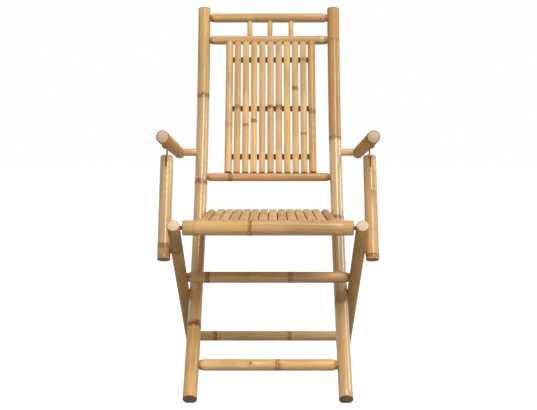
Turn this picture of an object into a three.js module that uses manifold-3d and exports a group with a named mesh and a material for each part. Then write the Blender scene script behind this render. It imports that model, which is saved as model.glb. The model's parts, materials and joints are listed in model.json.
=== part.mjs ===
// A folding recliner of solid bamboo cane: two long bent poles cross two straight legs, a slatted
// seat hangs between the leg tops and a bar on the poles, and the arms rest on swinging posts.
// Sizes are in millimetres and angles in degrees. +Z is up and the chair faces -Y.
import * as THREE from 'three';
import { mergeVertices } from 'three/addons/utils/BufferGeometryUtils.js';
import Module from 'manifold-3d';

const wasm = await Module();
wasm.setup();
const { cos, sin, tan, asin, atan2, hypot, sqrt, max, PI } = Math;
const radians = THREE.MathUtils.degToRad;

// Fits and cane habits shared by the whole chair.
const FIT_GAP = 0.3;
const SIDE_GAP = 0.5;
const KNOT_LENGTH = 6;
const KNOT_SWELL_SHARE = 0.03;
const TENON_SHARE = 0.76;
const TAPER_SHARE = 1.1;
const FOOT_FLAT = 2;

// Long poles: straight at the foot, bent to an arc, straight again at the top.
const POLE_DIAMETER = 34.4;
const POLE_SPACING = 369;
const POLE_FOOT_LENGTH = 230;
const POLE_BEND_RADIUS = 1522;
const POLE_TOP_LENGTH = 135;
const POLE_FOOT_ANGLE = 44.1;
const POLE_TOP_ANGLE = 74.8;

// Where things sit on a long pole, as a share of its length from the foot.
const FRONT_STRETCHER_SHARE = 0.0823;
const PIVOT_SHARE = 0.2711;
const REST_BAR_SHARE = 0.449;
const LOWER_RAIL_SHARE = 0.5684;
const ARM_PIVOT_SHARE = 0.6328;
const SECOND_RAIL_SHARE = 0.9199;
const TOP_RAIL_SHARE = 0.9767;

// Cross pieces between the long poles.
const TOP_RAIL_DIAMETER = 26;
const SECOND_RAIL_DIAMETER = 25;
const LOWER_RAIL_DIAMETER = 23;
const FRONT_STRETCHER_DIAMETER = 28;
const REST_BAR_DIAMETER = 22;
const RAIL_TENON_LENGTH = 12;
const SPINDLE_DIAMETER = 14;
const SPINDLE_BEDDING = 7;
const SPINDLE_PLACES_SHARES = [-0.147, 0.0095, 0.172];

// Legs, and what joins them.
const LEG_DIAMETER = 29.2;
const LEG_ANGLE = 34.45;
const LEG_ABOVE_PIVOT = 339;
const MID_STRETCHER_DIAMETER = 28;
const REAR_STRETCHER_DIAMETER = 27;
const MID_STRETCHER_SHARE = 0.2289;
const REAR_STRETCHER_SHARE = 0.715;
const POST_PIVOT_SHARE = 0.6337;
const SEAT_PIVOT_SHARE = 0.938;
const SEAT_PIVOT_RAISE_SHARE = 0.2;
const PIN_DIAMETER = 10;
const PIN_BEDDING = 10;

// Seat: a thick rail, two round side canes, crowned slats and the battens under them.
const SEAT_RAIL_DIAMETER = 35.4;
const SEAT_RAIL_END_GAP = 5.5;
const SEAT_OVERHANG = 36.1;
const SEAT_POLE_GAP = 2.3;
const SEAT_SIDE_DIAMETER = 24;
const SEAT_SLATS = 12;
const SEAT_SLAT_SPREAD_SHARE = 0.89;
const SEAT_SLAT_MARGIN_SHARE = 0.261;
const SEAT_SLAT_THICKNESS = 9;
const SEAT_SLAT_CROWN_SHARE = 0.35;
const SEAT_BATTEN_WIDTH = 12;
const SEAT_BATTEN_HEIGHT = 12;
const SEAT_FRONT_BATTEN_SHARE = 0.09;
const SEAT_MIDDLE_BATTEN_SHARE = 0.5;

// Back panel: two round side canes and flat slats on three battens, bent like the poles.
const BACK_WIDTH_SHARE = 0.63;
const BACK_CENTRE_SHARE = 0.0136;
const BACK_SLATS = 9;
const BACK_SLAT_SPREAD_SHARE = 0.763;
const BACK_SLAT_MARGIN_SHARE = 0.17;
const BACK_SLAT_THICKNESS = 5;
const BACK_SLAT_CROWN_SHARE = 0.5;
const BACK_SLAT_FORWARD = 11;
const BACK_SIDE_DIAMETER = 20.5;
const BACK_SIDE_FORWARD = 3;
const BACK_SIDE_TENON_SHARE = 0.5;
const BACK_LOWER_SHOULDER_SHARE = 0.9;
const BACK_UPPER_SHOULDER_SHARE = 0.3;
const BACK_BATTEN_HEIGHT = 14;
const BACK_BATTEN_THICKNESS = 7;
const BACK_LOWER_BATTEN_SHARE = 0.13;
const BACK_MIDDLE_BATTEN_SHARE = 0.5;
const BACK_UPPER_BATTEN_SHARE = 0.87;

// Arms, the posts that hold them up, and the metal tongues between the two.
const ARM_DIAMETER = 31;
const ARM_RISE = 5.7;
const ARM_PAST_POST = 117.6;
const ARM_BEHIND = 23;
const ARM_DOWEL_DIAMETER = 20;
const ARM_DOWEL_BEDDING = 18;
const POST_DIAMETER = 32;
const POST_ANGLE = 68.8;
const POST_BELOW_PIVOT = 21.2;
const POST_BELOW_ARM = 40;
const POST_SIDE_CLEARANCE = 1.2;
const TONGUE_THICKNESS = 3;
const TONGUE_WIDTH = 16;
const TONGUE_BEDDING = 10;
const SLOT_DEPTH = 32;
const SLOT_FLOOR_SLANT = 26;

// How finely round things are drawn.
const THICK_SIDES = 16;
const THIN_SIDES = 12;
const BEND_STEPS = 16;
const SLAT_STEPS = 6;
const CROWN_STEPS = 4;
const ROUND_END_STEPS = 3;

const CANE_COLOUR = 0xd8b47f;
const PALE_CANE_COLOUR = 0xdcbd8c;
const BATTEN_COLOUR = 0x7b5836;
const DOWEL_COLOUR = 0x8f5f38;
const METAL_COLOUR = 0x9a8650;

const chair = new THREE.Group();
const poleRadius = POLE_DIAMETER / 2;
const legRadius = LEG_DIAMETER / 2;

function mesh(name, geometry, colour = CANE_COLOUR, metalness = 0) {
  const material = new THREE.MeshStandardMaterial({ color: colour, roughness: 0.4, metalness });
  const piece = new THREE.Mesh(geometry, material);
  piece.name = name;
  return piece;
}

// A point of the chair from its side-view place and how far it lies to the right.
function spot(across, side) {
  return new THREE.Vector3(across, side.x, side.y);
}

// A step in the side view: along a heading, and then square to it towards the sitter.
function step(from, heading, along, forward = 0) {
  const turn = radians(heading);
  const y = from.x + along * cos(turn) - forward * sin(turn);
  const z = from.y + along * sin(turn) + forward * cos(turn);
  return new THREE.Vector2(y, z);
}

// The half outline of a cane along its length: cut, tenoned or rounded ends, and swollen knots.
function caneProfile(length, radius, options = {}) {
  const { tenons = [0, 0], knotShares = [], roundEnd = 0 } = options;
  const { tenonShare = TENON_SHARE, taperShare = TAPER_SHARE } = options;
  const points = [new THREE.Vector2(0, 0)];
  const [startTenon, endTenon] = tenons;
  const add = (reach, along) => points.push(new THREE.Vector2(reach, along));
  if (startTenon > 0) {
    add(radius * tenonShare, 0);
    add(radius * tenonShare, startTenon);
    add(radius, startTenon + radius * taperShare);
  } else {
    add(radius, 0);
  }
  for (const share of knotShares) {
    add(radius, length * share - KNOT_LENGTH);
    add(radius * (1 + KNOT_SWELL_SHARE), length * share);
    add(radius, length * share + KNOT_LENGTH);
  }
  if (endTenon > 0) {
    add(radius, length - endTenon - radius * taperShare);
    add(radius * tenonShare, length - endTenon);
    add(radius * tenonShare, length);
  } else if (roundEnd > 0) {
    for (let index = 0; index < ROUND_END_STEPS; index += 1) {
      const turn = (PI / 2) * (index / ROUND_END_STEPS);
      add(radius * cos(turn), length - roundEnd + roundEnd * sin(turn));
    }
  } else {
    add(radius, length);
  }
  points.push(new THREE.Vector2(0, length));
  return points;
}

// A turned cane standing on the origin, along +Z.
function turned(profile, sides = THICK_SIDES) {
  return new THREE.LatheGeometry(profile, sides).rotateX(PI / 2);
}

// Extra rings between the points of a profile, so that a cane can bend.
function subdivided(profile, longest) {
  const points = [profile[0]];
  for (let index = 1; index < profile.length; index += 1) {
    const from = profile[index - 1];
    const to = profile[index];
    const pieces = Math.ceil((to.y - from.y) / longest) || 1;
    for (let part = 1; part <= pieces; part += 1) {
      points.push(from.clone().lerp(to, part / pieces));
    }
  }
  return points;
}

// Lays a piece that was made along +Z between two points.
function lay(piece, from, to) {
  const heading = to.clone().sub(from).normalize();
  piece.position.copy(from);
  piece.quaternion.setFromUnitVectors(new THREE.Vector3(0, 0, 1), heading);
  return piece;
}

function drill(from, to, radius, sides = THIN_SIDES) {
  const length = from.distanceTo(to);
  const profile = caneProfile(length, radius);
  return lay(mesh('', turned(profile, sides)), from, to);
}

// A block by its lowest and highest corners.
function block(name, low, high, colour) {
  const size = high.clone().sub(low);
  const piece = mesh(name, new THREE.BoxGeometry(size.x, size.y, size.z), colour);
  piece.position.copy(low).add(high).multiplyScalar(0.5);
  return piece;
}

// A plate in the side view: outline points are across and along a heading, thickness runs across.
function sidePlate(name, outline, thickness, origin, heading, colour, metalness) {
  const shape = new THREE.Shape(outline);
  const geometry = new THREE.ExtrudeGeometry(shape, { depth: thickness, bevelEnabled: false });
  geometry.translate(0, 0, -thickness / 2);
  const piece = mesh(name, geometry, colour, metalness);
  const turn = radians(heading);
  const rearward = new THREE.Vector3(0, sin(turn), -cos(turn));
  const along = new THREE.Vector3(0, cos(turn), sin(turn));
  const basis = new THREE.Matrix4().makeBasis(rearward, along, new THREE.Vector3(1, 0, 0));
  piece.quaternion.setFromRotationMatrix(basis);
  piece.position.copy(origin);
  return piece;
}

function toSolid(geometry) {
  const bare = geometry.index ? geometry.toNonIndexed() : geometry.clone();
  bare.deleteAttribute('normal');
  bare.deleteAttribute('uv');
  const merged = mergeVertices(bare, 1e-4);
  const corners = merged.index.array;
  const kept = [];
  for (let index = 0; index < corners.length; index += 3) {
    const [a, b, c] = corners.slice(index, index + 3);
    if (a !== b && b !== c && c !== a) {
      kept.push(a, b, c);
    }
  }
  const vertProperties = new Float32Array(merged.attributes.position.array);
  const triVerts = new Uint32Array(kept);
  return new wasm.Manifold(new wasm.Mesh({ numProp: 3, vertProperties, triVerts }));
}

function toGeometry(solid) {
  const result = solid.getMesh();
  const geometry = new THREE.BufferGeometry();
  geometry.setAttribute('position', new THREE.BufferAttribute(result.vertProperties, 3));
  geometry.setIndex(new THREE.BufferAttribute(result.triVerts, 1));
  return geometry;
}

// Cuts pieces, wherever they lie, out of a piece that stays where it is.
function cut(piece, cutters) {
  piece.updateWorldMatrix(true, false);
  const inward = piece.matrixWorld.clone().invert();
  let solid = toSolid(piece.geometry);
  for (const cutter of cutters) {
    cutter.updateWorldMatrix(true, false);
    const placed = cutter.geometry.clone().applyMatrix4(cutter.matrixWorld).applyMatrix4(inward);
    solid = solid.subtract(toSolid(placed));
  }
  piece.geometry = toGeometry(solid);
}

// The long pole's line in the side view: place and heading at a distance from the foot.
const bendTurn = radians(POLE_TOP_ANGLE - POLE_FOOT_ANGLE);
const bendLength = POLE_BEND_RADIUS * bendTurn;
const poleLength = POLE_FOOT_LENGTH + bendLength + POLE_TOP_LENGTH;
const poleFoot = new THREE.Vector2(0, poleRadius * cos(radians(POLE_FOOT_ANGLE)) - FOOT_FLAT);

function onPole(distance, forward = 0) {
  const lower = Math.min(distance, POLE_FOOT_LENGTH);
  const bent = max(Math.min(distance - POLE_FOOT_LENGTH, bendLength), 0);
  const upper = max(distance - POLE_FOOT_LENGTH - bendLength, 0);
  const turned = THREE.MathUtils.radToDeg(bent / POLE_BEND_RADIUS);
  const heading = POLE_FOOT_ANGLE + turned;
  const chord = 2 * POLE_BEND_RADIUS * sin(radians(turned) / 2);
  let place = step(poleFoot, POLE_FOOT_ANGLE, lower);
  place = step(place, POLE_FOOT_ANGLE + turned / 2, chord);
  place = step(place, heading, upper, forward);
  return { place, heading };
}

// Bends a piece made along +Z to the pole's line, its +Y side to the back of the chair.
function bend(geometry, start, forward = 0) {
  const places = geometry.attributes.position;
  for (let index = 0; index < places.count; index += 1) {
    const along = start + places.getZ(index);
    const { place } = onPole(along, forward - places.getY(index));
    places.setXYZ(index, places.getX(index), place.x, place.y);
  }
  return geometry;
}

// Places in the side view that the rest is hung on.
const pivot = onPole(poleLength * PIVOT_SHARE).place;
const restBar = onPole(poleLength * REST_BAR_SHARE).place;
const armPivot = onPole(poleLength * ARM_PIVOT_SHARE).place;
const legHeading = 180 - LEG_ANGLE;
const legTurn = radians(LEG_ANGLE);
const legBelowPivot = (pivot.y + FOOT_FLAT - legRadius * cos(legTurn)) / sin(legTurn);
const legLength = legBelowPivot + LEG_ABOVE_PIVOT;
const legFoot = step(pivot, legHeading, -legBelowPivot);
const midStretcher = step(pivot, legHeading, LEG_ABOVE_PIVOT * MID_STRETCHER_SHARE);
const rearStretcher = step(pivot, legHeading, -legBelowPivot * REAR_STRETCHER_SHARE);
const postPivot = step(pivot, legHeading, LEG_ABOVE_PIVOT * POST_PIVOT_SHARE);
const seatPivotRaise = LEG_DIAMETER * SEAT_PIVOT_RAISE_SHARE;
const seatPivot = step(pivot, legHeading, LEG_ABOVE_PIVOT * SEAT_PIVOT_SHARE, -seatPivotRaise);

// Places across the chair.
const poleAcross = POLE_SPACING / 2;
const legAcross = poleAcross + poleRadius + SIDE_GAP + legRadius;
const postAcross = legAcross + legRadius + POST_SIDE_CLEARANCE + POST_DIAMETER / 2;
const poleInside = poleAcross - poleRadius;
const legInside = legAcross - legRadius;
const armInside = postAcross - ARM_DIAMETER / 2;
const backCentre = POLE_SPACING * BACK_CENTRE_SHARE;
const backSideOffset = (POLE_SPACING * BACK_WIDTH_SHARE) / 2;

// The spacing of slats that share out a clear width, with a little more room at the two sides.
function slatPitch(clearWidth, slats, marginShare) {
  return clearWidth / (slats + marginShare);
}

// A straight cane with tenons, lying across the chair between two matching side pieces.
function crossCane(name, side, diameter, inside, knotShares) {
  const reach = inside + RAIL_TENON_LENGTH;
  const tenon = RAIL_TENON_LENGTH + FIT_GAP;
  const profile = caneProfile(2 * reach, diameter / 2, { tenons: [tenon, tenon], knotShares });
  const piece = mesh(name, turned(profile));
  lay(piece, spot(-reach, side), spot(reach, side));
  chair.add(piece);
  return piece;
}

// The socket that takes a cross cane's tenon, at one side of the chair.
function crossSocket(side, diameter, inside, hand) {
  const from = spot(hand * (inside - RAIL_TENON_LENGTH), side);
  const to = spot(hand * (inside + RAIL_TENON_LENGTH + FIT_GAP), side);
  return drill(from, to, (diameter / 2) * TENON_SHARE + FIT_GAP, THICK_SIDES);
}

const poleRails = [
  ['top_rail', TOP_RAIL_SHARE, TOP_RAIL_DIAMETER, [0.4]],
  ['second_rail', SECOND_RAIL_SHARE, SECOND_RAIL_DIAMETER, [0.88]],
  ['lower_back_rail', LOWER_RAIL_SHARE, LOWER_RAIL_DIAMETER, [0.12]],
  ['seat_rest_bar', REST_BAR_SHARE, REST_BAR_DIAMETER, [0.5]],
  ['front_stretcher', FRONT_STRETCHER_SHARE, FRONT_STRETCHER_DIAMETER, [0.56]],
].map(([name, share, diameter, knotShares]) => {
  const side = onPole(poleLength * share).place;
  return { name, side, diameter, knotShares, inside: poleInside };
});
const legRails = [
  ['mid_stretcher', midStretcher, MID_STRETCHER_DIAMETER, [0.147, 0.627]],
  ['rear_stretcher', rearStretcher, REAR_STRETCHER_DIAMETER, [0.154, 0.635]],
].map(([name, side, diameter, knotShares]) => ({ name, side, diameter, knotShares, inside: legInside }));
const rails = {};
for (const { name, side, diameter, inside, knotShares } of [...poleRails, ...legRails]) {
  rails[name] = crossCane(name, side, diameter, inside, knotShares);
}

// Short spindles stand in holes in the second rail and the top rail.
const topRailPlace = poleLength * TOP_RAIL_SHARE;
const secondRailPlace = poleLength * SECOND_RAIL_SHARE;
const lowerRailPlace = poleLength * LOWER_RAIL_SHARE;
const spindleFrom = secondRailPlace + SECOND_RAIL_DIAMETER / 2 - SPINDLE_BEDDING;
const spindleTo = topRailPlace - TOP_RAIL_DIAMETER / 2 + SPINDLE_BEDDING;
const spindleRadius = SPINDLE_DIAMETER / 2;
const spindleSockets = { top_rail: [], second_rail: [] };
for (const [index, share] of SPINDLE_PLACES_SHARES.entries()) {
  const across = POLE_SPACING * share;
  const profile = caneProfile(spindleTo - spindleFrom, spindleRadius);
  const piece = mesh(`spindle_${index + 1}`, turned(profile, THIN_SIDES));
  const foot = spot(across, onPole(spindleFrom).place);
  const top = spot(across, onPole(spindleTo).place);
  chair.add(lay(piece, foot, top));
  const socketRadius = spindleRadius + FIT_GAP;
  const below = spot(across, onPole(spindleFrom - FIT_GAP).place);
  const above = spot(across, onPole(spindleTo + FIT_GAP).place);
  const middle = spot(across, onPole((spindleFrom + spindleTo) / 2).place);
  spindleSockets.second_rail.push(drill(below, middle, socketRadius));
  spindleSockets.top_rail.push(drill(middle, above, socketRadius));
}

// Round side canes of the back panel, bent with the poles. Each end is scribed round its rail
// and keeps a thin tenon that is let into the rail.
const backSideRadius = BACK_SIDE_DIAMETER / 2;
const backSideTenonRadius = backSideRadius * BACK_SIDE_TENON_SHARE;
const backSideSockets = { lower_back_rail: [], second_rail: [] };
const backSides = [
  { name: 'back_side_pole_left', across: backCentre - backSideOffset, knotShares: [0.36] },
  { name: 'back_side_pole_right', across: backCentre + backSideOffset, knotShares: [0.46] },
];
for (const { name, across, knotShares } of backSides) {
  const length = secondRailPlace - lowerRailPlace;
  const lowerShoulder = (LOWER_RAIL_DIAMETER / 2) * BACK_LOWER_SHOULDER_SHARE;
  const upperShoulder = (SECOND_RAIL_DIAMETER / 2) * BACK_UPPER_SHOULDER_SHARE;
  const tenons = [lowerShoulder, upperShoulder];
  const options = { tenons, knotShares, tenonShare: BACK_SIDE_TENON_SHARE, taperShare: 0 };
  const rings = subdivided(caneProfile(length, backSideRadius, options), length / SLAT_STEPS);
  const geometry = bend(turned(rings, THIN_SIDES), lowerRailPlace, BACK_SIDE_FORWARD);
  const piece = mesh(name, geometry);
  piece.position.x = across;
  chair.add(piece);
  const socket = (from, to) => {
    const start = spot(across, onPole(from, BACK_SIDE_FORWARD).place);
    const end = spot(across, onPole(to, BACK_SIDE_FORWARD).place);
    return drill(start, end, backSideTenonRadius + FIT_GAP);
  };
  const lowerSocket = socket(lowerRailPlace - FIT_GAP, lowerRailPlace + LOWER_RAIL_DIAMETER);
  const upperSocket = socket(secondRailPlace - SECOND_RAIL_DIAMETER, secondRailPlace + FIT_GAP);
  const scribe = (side, diameter, kept) => {
    const from = spot(across - BACK_SIDE_DIAMETER, side);
    const to = spot(across + BACK_SIDE_DIAMETER, side);
    const waste = drill(from, to, diameter / 2 + FIT_GAP, THICK_SIDES);
    cut(waste, [kept]);
    return waste;
  };
  cut(piece, [
    scribe(onPole(lowerRailPlace).place, LOWER_RAIL_DIAMETER, lowerSocket),
    scribe(onPole(secondRailPlace).place, SECOND_RAIL_DIAMETER, upperSocket),
  ]);
  backSideSockets.lower_back_rail.push(lowerSocket);
  backSideSockets.second_rail.push(upperSocket);
}
cut(rails.top_rail, spindleSockets.top_rail);
cut(rails.second_rail, [...spindleSockets.second_rail, ...backSideSockets.second_rail]);
cut(rails.lower_back_rail, backSideSockets.lower_back_rail);

// How far a round rail reaches along the panel at a given distance in front of its middle.
function railReach(diameter, forward) {
  return sqrt(max((diameter / 2) ** 2 - forward ** 2, 0)) + FIT_GAP;
}

// A slat's section: a level back, low edges and a crowned face, towards -Y.
function slatShape(width, thickness, crown) {
  const half = width / 2;
  const back = thickness / 2;
  const shoulder = crown - back;
  const shape = new THREE.Shape();
  shape.moveTo(-half, back);
  shape.lineTo(-half, shoulder);
  shape.quadraticCurveTo(0, shoulder - 2 * crown, half, shoulder);
  shape.lineTo(half, back);
  return shape;
}

// Flat back slats, bent with the poles.
const slatBack = BACK_SLAT_FORWARD - BACK_SLAT_THICKNESS / 2;
const slatFrom = lowerRailPlace + railReach(LOWER_RAIL_DIAMETER, slatBack);
const slatTo = secondRailPlace - railReach(SECOND_RAIL_DIAMETER, slatBack);
const backSlatSpace = 2 * (backSideOffset - backSideRadius);
const backSlatPitch = slatPitch(backSlatSpace, BACK_SLATS, BACK_SLAT_MARGIN_SHARE);
const backSlatWidth = backSlatPitch * BACK_SLAT_SPREAD_SHARE;
const backSlatCrown = BACK_SLAT_THICKNESS * BACK_SLAT_CROWN_SHARE;
for (let index = 0; index < BACK_SLATS; index += 1) {
  const length = slatTo - slatFrom;
  const options = { depth: length, steps: SLAT_STEPS, bevelEnabled: false, curveSegments: CROWN_STEPS };
  const shape = slatShape(backSlatWidth, BACK_SLAT_THICKNESS, backSlatCrown);
  const straight = new THREE.ExtrudeGeometry(shape, options);
  const piece = mesh(`back_slat_${index + 1}`, bend(straight, slatFrom, BACK_SLAT_FORWARD), PALE_CANE_COLOUR);
  piece.position.x = backCentre + (index - (BACK_SLATS - 1) / 2) * backSlatPitch;
  chair.add(piece);
}

// Three battens run behind the slats from one side cane to the other.
const backBattenForward = slatBack - FIT_GAP - BACK_BATTEN_THICKNESS / 2;
const backBattenLength = backSlatSpace - 2 * FIT_GAP;
const backBattens = [
  ['lower', BACK_LOWER_BATTEN_SHARE],
  ['middle', BACK_MIDDLE_BATTEN_SHARE],
  ['upper', BACK_UPPER_BATTEN_SHARE],
];
for (const [level, share] of backBattens) {
  const { place, heading } = onPole(slatFrom + (slatTo - slatFrom) * share, backBattenForward);
  const size = [backBattenLength, BACK_BATTEN_THICKNESS, BACK_BATTEN_HEIGHT];
  const piece = mesh(`back_batten_${level}`, new THREE.BoxGeometry(...size), BATTEN_COLOUR);
  piece.rotation.x = radians(heading - 90);
  piece.position.copy(spot(backCentre, place));
  chair.add(piece);
}

// The seat has its own frame: its origin on the rail's axis, +Y along the seat to the rear.
// It tilts so that its side canes lie on the rest bar.
const seatRailRadius = SEAT_RAIL_DIAMETER / 2;
const seatSideRadius = SEAT_SIDE_DIAMETER / 2;
const restBarRadius = REST_BAR_DIAMETER / 2;
const seatSideLevel = seatRailRadius - seatSideRadius;
const restBarLevel = seatSideLevel - seatSideRadius - restBarRadius - FIT_GAP;
const toBar = restBar.clone().sub(seatPivot);
const seatTilt = atan2(toBar.y, toBar.x) - asin(restBarLevel / toBar.length());
const restBarAlong = sqrt(toBar.lengthSq() - restBarLevel ** 2);
const seatLength = restBarAlong + SEAT_OVERHANG;
const seatRailReach = legInside - SEAT_RAIL_END_GAP;
const seat = new THREE.Group();
seat.position.copy(spot(0, seatPivot));
seat.rotation.x = seatTilt;
chair.add(seat);

const seatRailProfile = caneProfile(2 * seatRailReach, seatRailRadius, { knotShares: [0.394] });
const seatRail = mesh('front_seat_rail', turned(seatRailProfile));
const seatRailEnd = new THREE.Vector3(seatRailReach, 0, 0);
seat.add(lay(seatRail, seatRailEnd.clone().negate(), seatRailEnd));

const seatSideAcross = poleInside - SEAT_POLE_GAP - seatSideRadius;
const seatSideFrom = seatRailRadius + FIT_GAP - RAIL_TENON_LENGTH;
const seatRailSockets = [];
for (const [side, hand] of [['left', -1], ['right', 1]]) {
  const across = hand * seatSideAcross;
  const tenons = [RAIL_TENON_LENGTH, 0];
  const length = seatLength - seatSideFrom;
  const profile = caneProfile(length, seatSideRadius, { tenons, roundEnd: seatSideRadius });
  const piece = mesh(`seat_side_pole_${side}`, turned(profile, THIN_SIDES));
  const start = new THREE.Vector3(across, seatSideFrom, seatSideLevel);
  const end = new THREE.Vector3(across, seatLength, seatSideLevel);
  seat.add(lay(piece, start, end));
  const bottom = new THREE.Vector3(across, seatSideFrom - FIT_GAP, seatSideLevel);
  const socket = drill(bottom, end, seatSideRadius * TENON_SHARE + FIT_GAP);
  seat.add(socket);
  seatRailSockets.push(socket);
}

// The seat slats butt against the rail in front. Their crowns are level with its top.
const seatSlatSpace = 2 * (seatSideAcross - seatSideRadius);
const seatSlatPitch = slatPitch(seatSlatSpace, SEAT_SLATS, SEAT_SLAT_MARGIN_SHARE);
const seatSlatWidth = seatSlatPitch * SEAT_SLAT_SPREAD_SHARE;
const seatSlatCrown = SEAT_SLAT_THICKNESS * SEAT_SLAT_CROWN_SHARE;
const seatSlatUnder = seatRailRadius - SEAT_SLAT_THICKNESS;
const seatSlatFrom = sqrt(seatRailRadius ** 2 - seatSlatUnder ** 2) + FIT_GAP;
for (let index = 0; index < SEAT_SLATS; index += 1) {
  const options = { depth: seatLength - seatSlatFrom, bevelEnabled: false, curveSegments: CROWN_STEPS };
  const shape = slatShape(seatSlatWidth, SEAT_SLAT_THICKNESS, seatSlatCrown);
  const piece = mesh(`seat_slat_${index + 1}`, new THREE.ExtrudeGeometry(shape, options), PALE_CANE_COLOUR);
  const across = (index - (SEAT_SLATS - 1) / 2) * seatSlatPitch;
  piece.position.set(across, seatSlatFrom, seatRailRadius - SEAT_SLAT_THICKNESS / 2);
  piece.rotation.x = -PI / 2;
  seat.add(piece);
}

// Battens hold the slats. The rear one is deeper and hooks behind the rest bar.
const seatBattenTop = seatSlatUnder - FIT_GAP;
const seatBattenReach = seatSlatSpace / 2 - FIT_GAP;
const rearBattenAlong = restBarAlong + restBarRadius + FIT_GAP;
const seatBattens = [
  ['seat_front_batten', seatLength * SEAT_FRONT_BATTEN_SHARE, seatBattenTop - SEAT_BATTEN_HEIGHT],
  ['seat_middle_batten', seatLength * SEAT_MIDDLE_BATTEN_SHARE, seatBattenTop - SEAT_BATTEN_HEIGHT],
  ['seat_rear_batten', rearBattenAlong, restBarLevel],
];
for (const [name, along, bottom] of seatBattens) {
  const low = new THREE.Vector3(-seatBattenReach, along, bottom);
  const high = new THREE.Vector3(seatBattenReach, along + SEAT_BATTEN_WIDTH, seatBattenTop);
  seat.add(block(name, low, high, BATTEN_COLOUR));
}

// Post and arm lines in the side view, and where they meet on each of the two.
const armHeading = 180 - ARM_RISE;
const toArm = armPivot.clone().sub(postPivot);
const armLean = radians(armHeading - POST_ANGLE);
const armTurn = radians(armHeading);
const postTurn = radians(POST_ANGLE);
const postToArm = (toArm.x * sin(armTurn) - toArm.y * cos(armTurn)) / sin(armLean);
const armToPost = (toArm.x * sin(postTurn) - toArm.y * cos(postTurn)) / sin(armLean);
const armAhead = armToPost + ARM_PAST_POST;
const armFront = step(armPivot, armHeading, armAhead);
const armRear = step(armPivot, armHeading, -ARM_BEHIND);
const postTop = postToArm - POST_BELOW_ARM;
const postRadius = POST_DIAMETER / 2;
const slotMiddle = postTop - SLOT_DEPTH + postRadius * tan(radians(SLOT_FLOOR_SLANT));
const pinRadius = PIN_DIAMETER / 2;
const dowelRadius = ARM_DOWEL_DIAMETER / 2;

// The tongue's and the slots' outline, from the slanted slot floor up to a square top.
function tongueOutline(halfWidth, floorGap, top) {
  const slant = tan(radians(SLOT_FLOOR_SLANT));
  const floor = slotMiddle + floorGap;
  return [
    new THREE.Vector2(-halfWidth, floor - halfWidth * slant),
    new THREE.Vector2(halfWidth, floor + halfWidth * slant),
    new THREE.Vector2(halfWidth, top),
    new THREE.Vector2(-halfWidth, top),
  ];
}

// A pin across the chair from one distance to another, on one side.
function crossPin(name, side, from, to, hand, radius = pinRadius, sides = THIN_SIDES) {
  const length = to - from;
  const piece = mesh(name, turned(caneProfile(length, radius), sides), DOWEL_COLOUR);
  return lay(piece, spot(hand * from, side), spot(hand * to, side));
}

const canes = {
  left: { poleKnotShares: [0.186, 0.552, 0.775], legKnotShares: [0.807], postKnotShares: [0.245] },
  right: { poleKnotShares: [0.241, 0.459, 0.669], legKnotShares: [], postKnotShares: [0.677] },
};
const ARM_KNOT_SHARES = [0.42, 0.935];

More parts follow.
